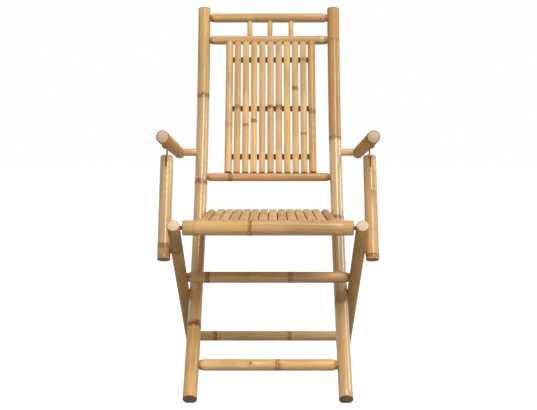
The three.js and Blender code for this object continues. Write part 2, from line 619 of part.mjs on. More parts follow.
for (const [side, hand] of [['left', -1], ['right', 1]]) {
  const { poleKnotShares, legKnotShares, postKnotShares } = canes[side];
  const outward = (place, from, to, radius) => crossPin('', place, from, to, hand, radius, THICK_SIDES);
  const sunk = PIN_BEDDING + FIT_GAP;

  // Long pole, with sockets for the cross canes, the main pin and the arm dowel.
  const poleProfile = caneProfile(poleLength, poleRadius, { knotShares: poleKnotShares });
  const poleRings = subdivided(poleProfile, poleLength / BEND_STEPS);
  const pole = mesh(`back_pole_${side}`, bend(turned(poleRings), 0));
  pole.position.x = hand * poleAcross;
  chair.add(pole);
  const poleSockets = poleRails.map((rail) => crossSocket(rail.side, rail.diameter, poleInside, hand));
  poleSockets.push(outward(pivot, poleAcross - sunk, legAcross, pinRadius + FIT_GAP));
  const dowelFrom = poleAcross + poleRadius - ARM_DOWEL_BEDDING;
  const dowelTo = armInside + ARM_DOWEL_BEDDING;
  poleSockets.push(outward(armPivot, dowelFrom - FIT_GAP, legAcross, dowelRadius + FIT_GAP));
  cut(pole, poleSockets);

  // Leg, outside the pole.
  const legProfile = caneProfile(legLength, legRadius, { knotShares: legKnotShares });
  const leg = mesh(`leg_${side}`, turned(legProfile));
  const legTop = step(pivot, legHeading, LEG_ABOVE_PIVOT);
  chair.add(lay(leg, spot(hand * legAcross, legFoot), spot(hand * legAcross, legTop)));
  const legSockets = legRails.map((rail) => crossSocket(rail.side, rail.diameter, legInside, hand));
  legSockets.push(outward(pivot, poleAcross, legAcross + sunk, pinRadius + FIT_GAP));
  legSockets.push(outward(postPivot, legAcross - sunk, postAcross, pinRadius + FIT_GAP));
  legSockets.push(outward(seatPivot, poleAcross, legAcross + sunk, pinRadius + FIT_GAP));
  cut(leg, legSockets);

  // Pins and dowels.
  chair.add(crossPin(`main_pivot_${side}`, pivot, poleAcross - PIN_BEDDING, legAcross + PIN_BEDDING, hand));
  const postPinEnd = postAcross + postRadius - FIT_GAP;
  chair.add(crossPin(`post_pivot_${side}`, postPivot, legAcross - PIN_BEDDING, postPinEnd, hand));
  const seatPinStart = seatRailReach - PIN_BEDDING;
  chair.add(crossPin(`seat_pivot_${side}`, seatPivot, seatPinStart, legAcross + PIN_BEDDING, hand));
  seatRailSockets.push(outward(seatPivot, seatRailReach - sunk, legAcross, pinRadius + FIT_GAP));
  const dowel = mesh(`arm_dowel_${side}`, turned(caneProfile(dowelTo - dowelFrom, dowelRadius)));
  chair.add(lay(dowel, spot(hand * dowelFrom, armPivot), spot(hand * dowelTo, armPivot)));

  // Arm, turning on its dowel, with a groove underneath for the tongue.
  const armProfile = caneProfile(armAhead + ARM_BEHIND, ARM_DIAMETER / 2, { knotShares: ARM_KNOT_SHARES });
  const arm = mesh(`arm_${side}`, turned(armProfile));
  chair.add(lay(arm, spot(hand * postAcross, armRear), spot(hand * postAcross, armFront)));
  const tongueTop = postToArm - ARM_DIAMETER / 2 + TONGUE_BEDDING;
  const postSpot = spot(hand * postAcross, postPivot);
  const slotThickness = TONGUE_THICKNESS + 2 * FIT_GAP;
  const groove = tongueOutline(TONGUE_WIDTH / 2 + FIT_GAP, 0, tongueTop + FIT_GAP);
  cut(arm, [
    outward(armPivot, legAcross, dowelTo + FIT_GAP, dowelRadius + FIT_GAP),
    sidePlate('', groove, slotThickness, postSpot, POST_ANGLE),
  ]);
  const tongue = tongueOutline(TONGUE_WIDTH / 2, FIT_GAP, tongueTop);
  chair.add(sidePlate(`arm_tongue_${side}`, tongue, TONGUE_THICKNESS, postSpot, POST_ANGLE, METAL_COLOUR, 1));

  // Post, pinned to the outside of the leg, with a slot sawn into its top.
  const postProfile = caneProfile(POST_BELOW_PIVOT + postTop, postRadius, { knotShares: postKnotShares });
  const post = mesh(`arm_post_${side}`, turned(postProfile));
  const postFrom = spot(hand * postAcross, step(postPivot, POST_ANGLE, -POST_BELOW_PIVOT));
  const postTo = spot(hand * postAcross, step(postPivot, POST_ANGLE, postTop));
  chair.add(lay(post, postFrom, postTo));
  const slot = tongueOutline(POST_DIAMETER, 0, postTop + POST_DIAMETER);
  cut(post, [
    outward(postPivot, legAcross, postAcross + POST_DIAMETER, pinRadius + FIT_GAP),
    sidePlate('', slot, slotThickness, postSpot, POST_ANGLE),
  ]);

  // Level cuts under the two feet.
  for (const [foot, place] of [[pole, poleFoot], [leg, legFoot]]) {
    const low = spot(hand * legAcross - POLE_SPACING, place).setZ(-POLE_SPACING);
    const high = spot(hand * legAcross + POLE_SPACING, place).setZ(0);
    low.y -= POLE_SPACING;
    high.y += POLE_SPACING;
    cut(foot, [block('', low, high)]);
  }
}
cut(seatRail, seatRailSockets);
for (const socket of seatRailSockets) {
  socket.removeFromParent();
}

// The origin is the middle of the chair's footprint, on the floor.
const bounds = new THREE.Box3().setFromObject(chair, true);
const centre = bounds.getCenter(new THREE.Vector3());
chair.position.set(0, -centre.y, -bounds.min.z);

export default chair;
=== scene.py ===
import json
import math

import bpy
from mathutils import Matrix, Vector
from mathutils.kdtree import KDTree


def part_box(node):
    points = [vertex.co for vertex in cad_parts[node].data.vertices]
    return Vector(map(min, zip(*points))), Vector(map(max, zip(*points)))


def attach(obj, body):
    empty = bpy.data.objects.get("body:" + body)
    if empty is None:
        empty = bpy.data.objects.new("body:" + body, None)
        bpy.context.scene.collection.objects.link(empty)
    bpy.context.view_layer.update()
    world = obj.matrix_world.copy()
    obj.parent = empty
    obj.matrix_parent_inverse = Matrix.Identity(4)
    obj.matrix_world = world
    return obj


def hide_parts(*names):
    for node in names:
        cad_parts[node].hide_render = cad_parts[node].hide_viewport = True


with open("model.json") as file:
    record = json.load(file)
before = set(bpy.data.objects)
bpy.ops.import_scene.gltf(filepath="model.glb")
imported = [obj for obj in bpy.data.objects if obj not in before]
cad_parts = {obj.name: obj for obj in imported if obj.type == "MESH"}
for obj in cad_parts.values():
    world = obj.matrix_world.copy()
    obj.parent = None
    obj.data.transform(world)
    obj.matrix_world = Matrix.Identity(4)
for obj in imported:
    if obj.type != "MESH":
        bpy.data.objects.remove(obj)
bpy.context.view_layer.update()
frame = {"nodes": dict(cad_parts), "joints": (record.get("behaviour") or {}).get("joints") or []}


# The two long poles are the spine of the chair: single bamboo canes, heated and bent to an
# arc between a straight foot and a straight top, then varnished. The cut ends are left pale,
# and each foot is worn to a small level flat where it meets the floor.
POLE_RADIUS = 0.0172
POLE_SPACING = 0.369
POLE_FOOT_LENGTH = 0.230
POLE_BEND_RADIUS = 1.522
POLE_TOP_LENGTH = 0.135
POLE_FOOT_ANGLE = 44.1
POLE_TOP_ANGLE = 74.8
FOOT_FLAT = 0.002

# The two sides as the viewer sees them, facing the chair, and which way each lies.
SIDES = {"left": -1, "right": 1}

# What a cane looks like. A knot is its share of the length and how dark it is. A bud is its
# share, its turn round the cane and how stout it is. Tones and gloss go from knot to knot,
# and a cane that has no gloss of its own gets the thin varnish.
POLES = {
    "left": {
        "knots": ((0.180, 1.4), (0.552, 1.1), (0.775, 0.9)),
        "buds": ((0.284, 220, 1.0),),
        "tones": ((224, 177, 112), (220, 176, 118), (211, 176, 121), (225, 185, 124)),
        "gloss": (0.3, 0.75, 0.95, 0.22),
    },
    "right": {
        "knots": ((0.236, 0.6), (0.459, 0.6), (0.665, 0.9), (0.918, 0.3)),
        "buds": ((0.281, 320, 1.0), (0.775, 60, 1.2)),
        "tones": ((220, 183, 128), (193, 158, 112), (230, 194, 140), (198, 153, 96), (192, 147, 90)),
        "gloss": (0.8, 0.8, 0.95, 0.45, 0.2),
    },
}
THIN_VARNISH = (0.3,)

# A knot is a thin ledge where the leaf sheath sat, and just above it a low ridge. Its shape
# is given in steps along the cane, each with its share of the swell.
KNOT_SHAPE = (
    (-0.010, 0.0), (-0.0045, 0.35), (-0.003, 0.9), (-0.0022, 0.2),
    (0.0, 0.45), (0.002, 0.95), (0.0035, 1.0), (0.0075, 0.3), (0.013, 0.0),
)
KNOT_SWELL = 0.028
TENON_SHARE = 0.76
TAPER_SHARE = 1.1
TAPER_STEPS = 6
EDGE_ROUNDING = 0.0005
PLAIN_RUN = 0.05
BENT_RUN = 0.02

# A bud gets rings of its own, unless a knot is close by. It is raised in three steps, each
# with how far round it the skin lifts and how high.
BUD_RINGS = (-0.009, -0.006, -0.004, -0.002, 0.0, 0.002, 0.004, 0.006, 0.009)
BUD_TO_KNOT = 0.014
BUD_STEPS = ((0.0085, 0.0008), (0.006, 0.0009), (0.0036, 0.0007))

# From one knot to the next a cane is a shade lighter or darker. Each cane's grain is shifted
# along, so that no two look alike.
INTERNODE_SHADES = (1.0, 0.95, 1.04, 0.98, 1.02, 0.94, 1.05)
TONE_STARTS = 0.0005
GRAIN_SHIFT = 0.37

# Rings, places and widths that differ by less than this count as the same.
SAME_RING = 1e-5
SAME_PLACE = 1e-6
SAME_WIDTH = 1e-7

# The order of the three materials that every cane has.
SKIN, SAWN, SPLIT = range(3)

bend_turn = math.radians(POLE_TOP_ANGLE - POLE_FOOT_ANGLE)
bend_length = POLE_BEND_RADIUS * bend_turn
pole_length = POLE_FOOT_LENGTH + bend_length + POLE_TOP_LENGTH
foot_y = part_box("back_pole_left")[0].y + POLE_RADIUS * math.sin(math.radians(POLE_FOOT_ANGLE))
foot_z = POLE_RADIUS * math.cos(math.radians(POLE_FOOT_ANGLE)) - FOOT_FLAT


def paint(shade, level=1.0):
    """A colour as read off the varnish, 0 to 255, as the shader wants it, at some level."""
    parts = [channel / 255 for channel in shade]
    parts = [c / 12.92 if c <= 0.04045 else ((c + 0.055) / 1.055) ** 2.4 for c in parts]
    return (*(part * level for part in parts), 1.0)


def step(place, heading, along, forward=0.0):
    """A step in the side view (y, z): along a heading, and square to it towards the sitter."""
    turn = math.radians(heading)
    y = place[0] + along * math.cos(turn) - forward * math.sin(turn)
    z = place[1] + along * math.sin(turn) + forward * math.cos(turn)
    return y, z


def on_pole(along, forward=0.0):
    """The pole's line in the side view: its place and heading at a distance from the foot."""
    lower = min(along, POLE_FOOT_LENGTH)
    bent = max(min(along - POLE_FOOT_LENGTH, bend_length), 0.0)
    upper = max(along - POLE_FOOT_LENGTH - bend_length, 0.0)
    turned = math.degrees(bent / POLE_BEND_RADIUS)
    chord = 2 * POLE_BEND_RADIUS * math.sin(math.radians(turned) / 2)
    place = step((foot_y, foot_z), POLE_FOOT_ANGLE, lower)
    place = step(place, POLE_FOOT_ANGLE + turned / 2, chord)
    heading = POLE_FOOT_ANGLE + turned
    return step(place, heading, upper, forward), heading


def cane_rings(length, radius, tenons, knots, buds, longest):
    """Where a cane's rings lie along it and how wide each is: ends, tapers, knots, buds and
    plain runs, none of them longer than the longest. Also where its knots are."""
    rings = []
    for far_end, tenon in enumerate(tenons):
        if tenon:
            end = [(0.0, radius * TENON_SHARE), (tenon, radius * TENON_SHARE)]
            for index in range(1, TAPER_STEPS + 1):
                share = index / TAPER_STEPS
                swell = TENON_SHARE + (1 - TENON_SHARE) * math.sin(share * math.pi / 2)
                end.append((tenon + radius * TAPER_SHARE * share, radius * swell))
        else:
            end = [(0.0, radius - EDGE_ROUNDING), (EDGE_ROUNDING, radius)]
        rings += [(length - along, reach) if far_end else (along, reach) for along, reach in end]
    marks = sorted((length * share, dark) for share, dark in knots)
    for mark, dark in marks:
        rings += [(mark + place, radius * (1 + KNOT_SWELL * swell)) for place, swell in KNOT_SHAPE]
    for bud in buds:
        for offset in BUD_RINGS:
            place = length * bud[0] + offset
            if all(abs(place - mark) > BUD_TO_KNOT for mark, dark in marks):
                rings.append((place, radius))
    rings = sorted(ring for ring in rings if 0 <= ring[0] <= length)
    full = [rings[0]]
    for along, reach in rings[1:]:
        last, last_reach = full[-1]
        if along - last < SAME_RING:
            continue
        pieces = math.ceil((along - last) / longest)
        for index in range(1, pieces + 1):
            share = index / pieces
            full.append((last + (along - last) * share, last_reach + (reach - last_reach) * share))
    return full, marks


def pick(piece):
    """Selects this piece and nothing else."""
    bpy.ops.object.select_all(action="DESELECT")
    piece.select_set(True)
    bpy.context.view_layer.objects.active = piece


def edit_all():
    """Opens the piece in hand for shaping, with all of it selected."""
    bpy.ops.object.mode_set(mode="EDIT")
    bpy.ops.mesh.select_all(action="SELECT")


def grow_cane(name, rings, marks, look, facets, tenons=(0.0, 0.0), cuts=()):
    """A straight cane standing on the origin: one disc, or what is left of it after some cuts,
    extruded from ring to ring."""
    bpy.ops.object.select_all(action="DESELECT")
    start, reach = rings[0]
    bpy.ops.mesh.primitive_circle_add(
        vertices=facets, radius=reach, fill_type="TRIFAN", location=(0, 0, start)
    )
    cane = bpy.context.object
    cane.name = cane.data.name = name
    for material in (varnished_cane, cut_end, split_face):
        cane.data.materials.append(material)
    edit_all()
    for place, outward in cuts:
        bpy.ops.mesh.bisect(plane_co=place, plane_no=outward, clear_outer=True)
        bpy.ops.mesh.select_all(action="SELECT")
    for along, wider in rings[1:]:
        bpy.ops.mesh.extrude_region_move(TRANSFORM_OT_translate={"value": (0, 0, along - start)})
        if abs(wider - reach) > SAME_WIDTH:
            swell = wider / reach
            bpy.ops.transform.resize(value=(swell, swell, 1), center_override=(0, 0, along))
        start, reach = along, wider
    bpy.ops.object.mode_set(mode="OBJECT")
    buds = look.get("buds", ())
    record_grain(cane, marks, look["tones"], look.get("gloss", THIN_VARNISH), tenons, buds)
    raise_buds(cane, buds)
    return cane


def straight_cane(name, length, radius, look, facets=28, tenons=(0.0, 0.0), longest=PLAIN_RUN):
    """A round cane with the knots, buds, tones and gloss of its look."""
    knots = look.get("knots", ())
    rings, marks = cane_rings(length, radius, tenons, knots, look.get("buds", ()), longest)
    return grow_cane(name, rings, marks, look, facets, tenons)


def bud_place(bud, length, near):
    """Where a bud sits, on the same surface as the point near it."""
    reach = math.hypot(near.x, near.y)
    turn = math.radians(bud[1])
    return Vector((reach * math.cos(turn), reach * math.sin(turn), length * bud[0]))


# What each point of a cane's surface knows, for its material, and the field that holds it.
GRAIN = {
    "grain": "FLOAT_VECTOR",
    "tone": "FLOAT_COLOR",
    "gloss": "FLOAT",
    # How much painted shade darkens a cut end.
    "grime": "FLOAT",
    "from_knot": "FLOAT",
    "knot_dark": "FLOAT",
    "from_tip": "FLOAT",
    "from_end": "FLOAT",
    "from_bud": "FLOAT",
}
FIELDS = {"FLOAT_VECTOR": "vector", "FLOAT_COLOR": "color", "FLOAT": "value"}


def note(mesh, index, facts):
    """Writes down what one point of the surface knows."""
    for name, fact in facts.items():
        setattr(mesh.attributes[name].data[index], FIELDS[GRAIN[name]], fact)


def record_grain(piece, marks, tones, gloss, tenons, buds):
    """Writes onto the straight piece what its surface needs to know after it is bent or moved:
    its own coordinates, how far the nearest knot, tenon and bud are, how thick its varnish
    lies, and its colour, which differs a little from one knot to the next."""
    mesh = piece.data
    places = [vertex.co.copy() for vertex in mesh.vertices]
    low = min(place.z for place in places)
    high = max(place.z for place in places)
    first = sum(ord(letter) for letter in piece.name) % len(INTERNODE_SHADES)
    for name, kind in GRAIN.items():
        mesh.attributes.new(name, kind, "POINT")
    for index, place in enumerate(places):
        tips = [high - low]
        if tenons[0]:
            tips.append(place.z - low - tenons[0])
        if tenons[1]:
            tips.append(high - tenons[1] - place.z)
        from_knots = [(abs(place.z - mark), dark) for mark, dark in marks]
        from_knot, knot_dark = min(from_knots or [(high - low, 0.0)])
        from_buds = [(place - bud_place(bud, high, place)).length / bud[2] for bud in buds]
        internode = sum(place.z > mark + TONE_STARTS for mark, dark in marks)
        shade = INTERNODE_SHADES[(first + internode) % len(INTERNODE_SHADES)]
        note(mesh, index, {
            "grain": place + Vector((0, 0, first * GRAIN_SHIFT)),
            "tone": paint(tones[internode % len(tones)], shade),
            "gloss": gloss[internode % len(gloss)],
            # The first end of each piece gets full painted shade.
            "grime": float(place.z < low + SAME_PLACE),
            "from_knot": from_knot,
            "knot_dark": knot_dark,
            "from_tip": max(min(tips), 0.0),
            "from_end": min(place.z - low, high - place.z),
            "from_bud": min(from_buds or [high - low]),
        })
    for face in mesh.polygons:
        ends = all(places[index].z in (low, high) for index in face.vertices)
        face.material_index = SAWN if ends else SKIN


def raise_buds(piece, buds):
    """Pulls the surface up into a small blunt bump at each bud."""
    length = max(vertex.co.z for vertex in piece.data.vertices)
    for bud in buds:
        turn = math.radians(bud[1])
        for reach, height in BUD_STEPS:
            for vertex in piece.data.vertices:
                vertex.select = (vertex.co - bud_place(bud, length, vertex.co)).length < reach
            for part in (*piece.data.edges, *piece.data.polygons):
                part.select = False
            lift = height * bud[2]
            bpy.ops.object.mode_set(mode="EDIT")
            bpy.context.tool_settings.mesh_select_mode = (True, False, False)
            bpy.ops.transform.translate(value=(lift * math.cos(turn), lift * math.sin(turn), 0))
            bpy.ops.object.mode_set(mode="OBJECT")


def finish_cane(piece, node, body, smooth=50):
    """Fixes a piece in its place, smooths its skin up to an angle, hides the plain solid that
    it stands for, and hangs it on its body."""
    pick(piece)
    bpy.ops.object.transform_apply(location=True, rotation=True, scale=True)
    bpy.ops.object.shade_smooth_by_angle(angle=math.radians(smooth))
    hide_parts(node)
    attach(piece, body)


BEND_STEPS = 60


def bend_to_pole(piece, start, forward=0.0):
    """Bends a straight piece to the poles' line, its -Y side to the sitter."""
    length = max(vertex.co.z for vertex in piece.data.vertices)
    line = bpy.data.curves.new("bend_line", "CURVE")
    line.dimensions = "3D"
    line.twist_mode = "Z_UP"
    spline = line.splines.new("POLY")
    spline.points.add(BEND_STEPS)
    for index, point in enumerate(spline.points):
        place = on_pole(start + length * index / BEND_STEPS, forward)[0]
        point.co = (0.0, *place, 1.0)
    former = bpy.data.objects.new("bend_line", line)
    bpy.context.scene.collection.objects.link(former)
    pick(piece)
    edit_all()
    bpy.ops.transform.rotate(value=math.pi, orient_axis="Z", center_override=(0, 0, 0))
    bpy.ops.object.mode_set(mode="OBJECT")
    modifier = piece.modifiers.new("bend", "CURVE")
    modifier.object = former
    modifier.deform_axis = "POS_Z"
    bpy.ops.object.modifier_apply(modifier="bend")
    bpy.data.objects.remove(former)


def level_foot(piece):
    """Saws off whatever reaches below the floor."""
    pick(piece)
    edit_all()
    bpy.ops.mesh.bisect(
        plane_co=(0, 0, 0), plane_no=(0, 0, 1), use_fill=True, clear_inner=True, threshold=SAME_PLACE
    )
    bpy.ops.object.mode_set(mode="OBJECT")


class Wire:
    """A value on its way through a material. Sums on it add Math nodes."""

    def __init__(self, finish, socket):
        self.finish = finish
        self.socket = socket

    def sum(self, operation, first, second):
        return self.finish.node("ShaderNodeMath", {"operation": operation}, {0: first, 1: second})

    def __add__(self, other):
        return self.sum("ADD", self, other)

    def __radd__(self, other):
        return self.sum("ADD", other, self)

    def __sub__(self, other):
        return self.sum("SUBTRACT", self, other)

    def __rsub__(self, other):
        return self.sum("SUBTRACT", other, self)

    def __mul__(self, other):
        return self.sum("MULTIPLY", self, other)

    def __rmul__(self, other):
        return self.sum("MULTIPLY", other, self)

    def __truediv__(self, other):
        return self.sum("DIVIDE", self, other)

    def __rtruediv__(self, other):
        return self.sum("DIVIDE", other, self)


class Finish:
    """The shader of a material or of the world, and the nodes that feed it."""

    def __init__(self, owner, shader="Principled BSDF"):
        self.owner = owner
        owner.use_nodes = True
        self.tree = owner.node_tree
        self.shader = self.tree.nodes[shader]

    def node(self, kind, settings, inputs, output=0):
        """Adds a node: its type, its settings, and the values or wires of its sockets."""
        made = self.tree.nodes.new(kind)
        for key, value in settings.items():
            setattr(made, key, value)
        for key, value in inputs.items():
            self.feed(made.inputs[key], value)
        return Wire(self, made.outputs[output])

    def feed(self, socket, value):
        if isinstance(value, Wire):
            self.tree.links.new(value.socket, socket)
        else:
            socket.default_value = value

    def set(self, **values):
        for key, value in values.items():
            self.feed(self.shader.inputs[key.replace("_", " ")], value)

    def attribute(self, name, output="Fac"):
        return self.node("ShaderNodeAttribute", {"attribute_name": name}, {}, output)

    def scaled(self, place, scales):
        return self.node("ShaderNodeVectorMath", {"operation": "MULTIPLY"}, {0: place, 1: scales})

    def noise(self, place, scales, detail=3.0):
        """Noise on the piece's own coordinates, with a scale for each of them."""
        inputs = {"Vector": self.scaled(place, scales), "Scale": 1.0, "Detail": detail}
        return self.node("ShaderNodeTexNoise", {}, inputs)

    def grey(self, value):
        return self.node("ShaderNodeCombineColor", {}, {0: value, 1: value, 2: value})

    def size(self, value):
        return self.node("ShaderNodeMath", {"operation": "ABSOLUTE"}, {0: value})

    def fade(self, value, near, far):
        """1 at or below near, falling smoothly to 0 at far."""
        settings = {"interpolation_type": "SMOOTHSTEP"}
        limits = {"From Min": near, "From Max": far, "To Min": 1.0, "To Max": 0.0}
        return self.node("ShaderNodeMapRange", settings, {"Value": value, **limits})

    def blend(self, share, first, second, mode="MIX"):
        settings = {"data_type": "RGBA", "blend_type": mode}
        return self.node("ShaderNodeMix", settings, {0: share, 6: first, 7: second}, 2)

    def bump(self, height, strength, distance=0.0006):
        inputs = {"Strength": strength, "Distance": distance, "Height": height}
        return self.node("ShaderNodeBump", {}, inputs)


# The varnished skin. Each kind of grain is how fine it is across and along the cane. Each stain, and
# the painted shade along the cut ends, is where it fades out, as a noise value or a distance, and how
# strongly it shows.
FIBRES = (900.0, 900.0, 12.0)
FIBRE_SHARE = 0.5
STREAKS = (190.0, 190.0, 5.0)
STREAK_SHARE = 0.6
CLOUDS = (24.0, 24.0, 8.0)
SPECKS = (420.0, 420.0, 90.0)
BLOTCHES = (150.0, 150.0, 110.0)
OLIVE = paint((176, 142, 84))
OLIVE_CLOUDS = (0.4, 0.56)
OLIVE_SHARE = 0.42
AMBER = paint((212, 148, 84))
AMBER_CLOUDS = (0.36, 0.52)
AMBER_SHARE = 0.32
KNOT_RED = paint((160, 98, 56))
RED_SPECKS = (0.24, 0.33)
RED_SPECK_SHARE = 0.45
KNOT_BAND = (0.0032, 0.0092)
KNOT_BLOTCHES = (0.46, 0.72)
KNOT_BROWN = paint((104, 62, 36))
LEDGE_PLACE = 0.0030
LEDGE_BAND = (0.0004, 0.0019)
LEDGE_BREAKS = (0.4, 0.68)
TIP_BROWN = paint((134, 84, 46))
SCORCHED_TIP = (0.002, 0.012)
SCORCH_SHARE = 0.7
END_EDGE_SHADE = (0.0006, 0.0028)
BUD_SCAR = (0.0014, 0.0046)
EDGE_SHARE = 0.75


def varnish(name):
    """Glossy varnish over golden skin: fine fibres, olive and amber clouds, brown knots, and painted
    shade at the cut ends.
    """
    finish = Finish(bpy.data.materials.new(name))
    grain = finish.attribute("grain", "Vector")
    knot = finish.attribute("from_knot")
    dark = finish.attribute("knot_dark")
    gloss = finish.attribute("gloss")
    fibres = finish.noise(grain, FIBRES)
    streaks = finish.noise(grain, STREAKS)
    clouds = finish.noise(grain, CLOUDS, detail=4.0)
    specks = finish.noise(grain, SPECKS, detail=2.0)
    blotches = finish.noise(grain, BLOTCHES, detail=4.0)
    uneven = streaks - 0.5
    cloudy = clouds - 0.5

    shade = finish.attribute("tone", "Color")
    shade = finish.blend(finish.fade(clouds, *OLIVE_CLOUDS) * OLIVE_SHARE, shade, OLIVE)
    shade = finish.blend(finish.fade(1 - clouds, *AMBER_CLOUDS) * AMBER_SHARE, shade, AMBER)
    shade = finish.blend(FIBRE_SHARE, shade, finish.grey(fibres), "SOFT_LIGHT")
    shade = finish.blend(STREAK_SHARE, shade, finish.grey(streaks), "SOFT_LIGHT")
    shade = finish.blend(finish.fade(specks, *RED_SPECKS) * RED_SPECK_SHARE, shade, KNOT_RED)

    spread = knot / (dark * 0.5 + 0.6)
    band = finish.fade(spread + cloudy * 0.014 + uneven * 0.006, *KNOT_BAND)
    shade = finish.blend(band * dark * finish.fade(blotches, *KNOT_BLOTCHES), shade, KNOT_RED)
    ledge = finish.fade(finish.size(knot - LEDGE_PLACE + (blotches - 0.5) * 0.004), *LEDGE_BAND)
    ledge = ledge * finish.fade(1 - streaks, *LEDGE_BREAKS) * (dark * 0.6 + 0.15)
    shade = finish.blend(ledge, shade, KNOT_BROWN)

    from_tip = finish.attribute("from_tip") + uneven * 0.02 + cloudy * 0.02
    shade = finish.blend(finish.fade(from_tip, *SCORCHED_TIP) * SCORCH_SHARE, shade, TIP_BROWN)
    # Painted shade: a thin dark line on the skin along each cut end.
    edge = finish.fade(finish.attribute("from_end"), *END_EDGE_SHADE)
    shade = finish.blend(edge * EDGE_SHARE, shade, TIP_BROWN)
    scar = finish.fade(finish.attribute("from_bud") + uneven * 0.002, *BUD_SCAR)
    shade = finish.blend(scar * EDGE_SHARE, shade, KNOT_BROWN)

    relief = fibres * 0.35 + streaks * 0.65 - ledge * 0.6
    finish.set(Base_Color=shade, Normal=finish.bump(relief, strength=0.14), Specular_IOR_Level=0.06)
    finish.set(Roughness=0.62 - gloss * 0.4 + streaks * 0.14)
    finish.set(Coat_Weight=gloss * (0.9 + streaks * 0.2), Coat_Roughness=0.14, Coat_IOR=1.62)
    return finish.owner


# The sawn ends. The bundles are the dark dots of end grain, and the rim is a distance from the cane's
# middle. The end shade is painted shade that darkens ends turned away from the lamps.
CUT_CREAM = paint((239, 210, 173))
CUT_RIM = paint((132, 94, 58))
END_SHADE = paint((112, 88, 62))
PITH = paint((208, 174, 126))
PITH_DARK = paint((178, 138, 90))
BUNDLES_PER_METRE = 850.0
BUNDLE_DOT = (0.12, 0.42)
SAWN_CLOUDS = (120.0, 120.0, 120.0)
RIM_BAND = (0.0124, 0.0146)
RIM_SHARE = 0.75
END_SHADE_SHARE = 0.8


def sawn(name):
    """Bare end grain: cream, dotted with dark fibre bundles, brown in a rim at the skin, and darkened
    by painted shade where the end is turned from the lamps.
    """
    finish = Finish(bpy.data.materials.new(name))
    grain = finish.attribute("grain", "Vector")
    flat = finish.scaled(grain, (1.0, 1.0, 0.0))
    from_middle = finish.node("ShaderNodeVectorMath", {"operation": "LENGTH"}, {0: flat}, "Value")
    bundles = finish.node("ShaderNodeTexVoronoi", {}, {"Vector": flat, "Scale": BUNDLES_PER_METRE})
    clouds = finish.noise(grain, SAWN_CLOUDS)
    dots = finish.fade(bundles, *BUNDLE_DOT)
    shade = finish.blend(dots * 0.3 + clouds * 0.25, CUT_CREAM, PITH_DARK)
    rim = 1 - finish.fade(from_middle, *RIM_BAND)
    shade = finish.blend(rim * RIM_SHARE, shade, CUT_RIM)
    # Painted shade: ends turned away from the lamps are darkened.
    shade = finish.blend(finish.attribute("grime") * END_SHADE_SHARE, shade, END_SHADE)
    finish.set(Base_Color=shade, Roughness=0.55 + dots * 0.2, Specular_IOR_Level=0.1)
    finish.set(Normal=finish.bump(1 - dots, strength=0.2, distance=0.0004))
    return finish.owner


SPLIT_FIBRES = (700.0, 700.0, 10.0)
COMBED = (0.38, 0.62)
SPLIT_KNOT = (0.002, 0.006)
SPLIT_KNOT_SHARE = 0.5


def split(name):
    """The inside of a split cane: paler, and combed with coarse fibres."""
    finish = Finish(bpy.data.materials.new(name))
    fibres = finish.noise(finish.attribute("grain", "Vector"), SPLIT_FIBRES, detail=4.0)
    combed = finish.fade(fibres, *COMBED)
    shade = finish.blend(combed, PITH, PITH_DARK)
    knot = finish.fade(finish.attribute("from_knot"), *SPLIT_KNOT)
    shade = finish.blend(knot * SPLIT_KNOT_SHARE, shade, KNOT_RED)
    finish.set(Base_Color=shade, Roughness=0.5 + combed * 0.2, Specular_IOR_Level=0.08)
    finish.set(Normal=finish.bump(fibres, strength=0.3))
    return finish.owner


varnished_cane = varnish("varnished_cane")
cut_end = sawn("sawn_cane_end")
split_face = split("split_cane_face")

for side, hand in SIDES.items():
    pole = straight_cane(
        f"pole_{side}", pole_length, POLE_RADIUS, POLES[side], facets=36, longest=BENT_RUN
    )
    bend_to_pole(pole, 0.0)
    pole.location.x = hand * POLE_SPACING / 2
    finish_cane(pole, f"back_pole_{side}", "back_frame")
    level_foot(pole)


# Five straight canes tie the poles together: top rail, second rail, lower back rail, the bar
# that the seat lies on, and the front stretcher. Each end is whittled to a tenon, scorched
# brown, and driven into a hole in the pole.
RAIL_TENON = 0.0123
POLE_RAILS = {
    "top_rail": {
        "radius": 0.0130,
        "knots": ((0.40, 0.15),),
        "tones": ((216, 170, 114), (210, 168, 118)),
    },
    "second_rail": {
        "radius": 0.0125,
        "knots": ((0.896, 0.2),),
        "tones": ((226, 184, 130), (232, 196, 146)),
    },
    "lower_back_rail": {
        "radius": 0.0115,
        "knots": ((0.21, 0.75),),
        "tones": ((220, 180, 130), (214, 168, 114)),
    },
    "seat_rest_bar": {
        "radius": 0.0110,
        "knots": ((0.5, 0.6),),
        "tones": ((206, 162, 108),),
    },
    "front_stretcher": {
        "radius": 0.0140,
        "knots": ((0.564, 0.7),),
        "buds": ((0.381, 240, 1.2),),
        "tones": ((244, 198, 134),),
    },
}


def lay_across(node, look, tenons=(RAIL_TENON, RAIL_TENON)):
    """A straight cane across the chair, in the place of its solid. A bud at 90 faces the back."""
    low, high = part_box(node)
    cane = straight_cane(f"{node}_cane", high.x - low.x, look["radius"], look, tenons=tenons)
    cane.rotation_euler.y = math.pi / 2
    cane.location = (low.x, (low.y + high.y) / 2, (low.z + high.z) / 2)
    return cane


for node, look in POLE_RAILS.items():
    finish_cane(lay_across(node, look), node, "back_frame")


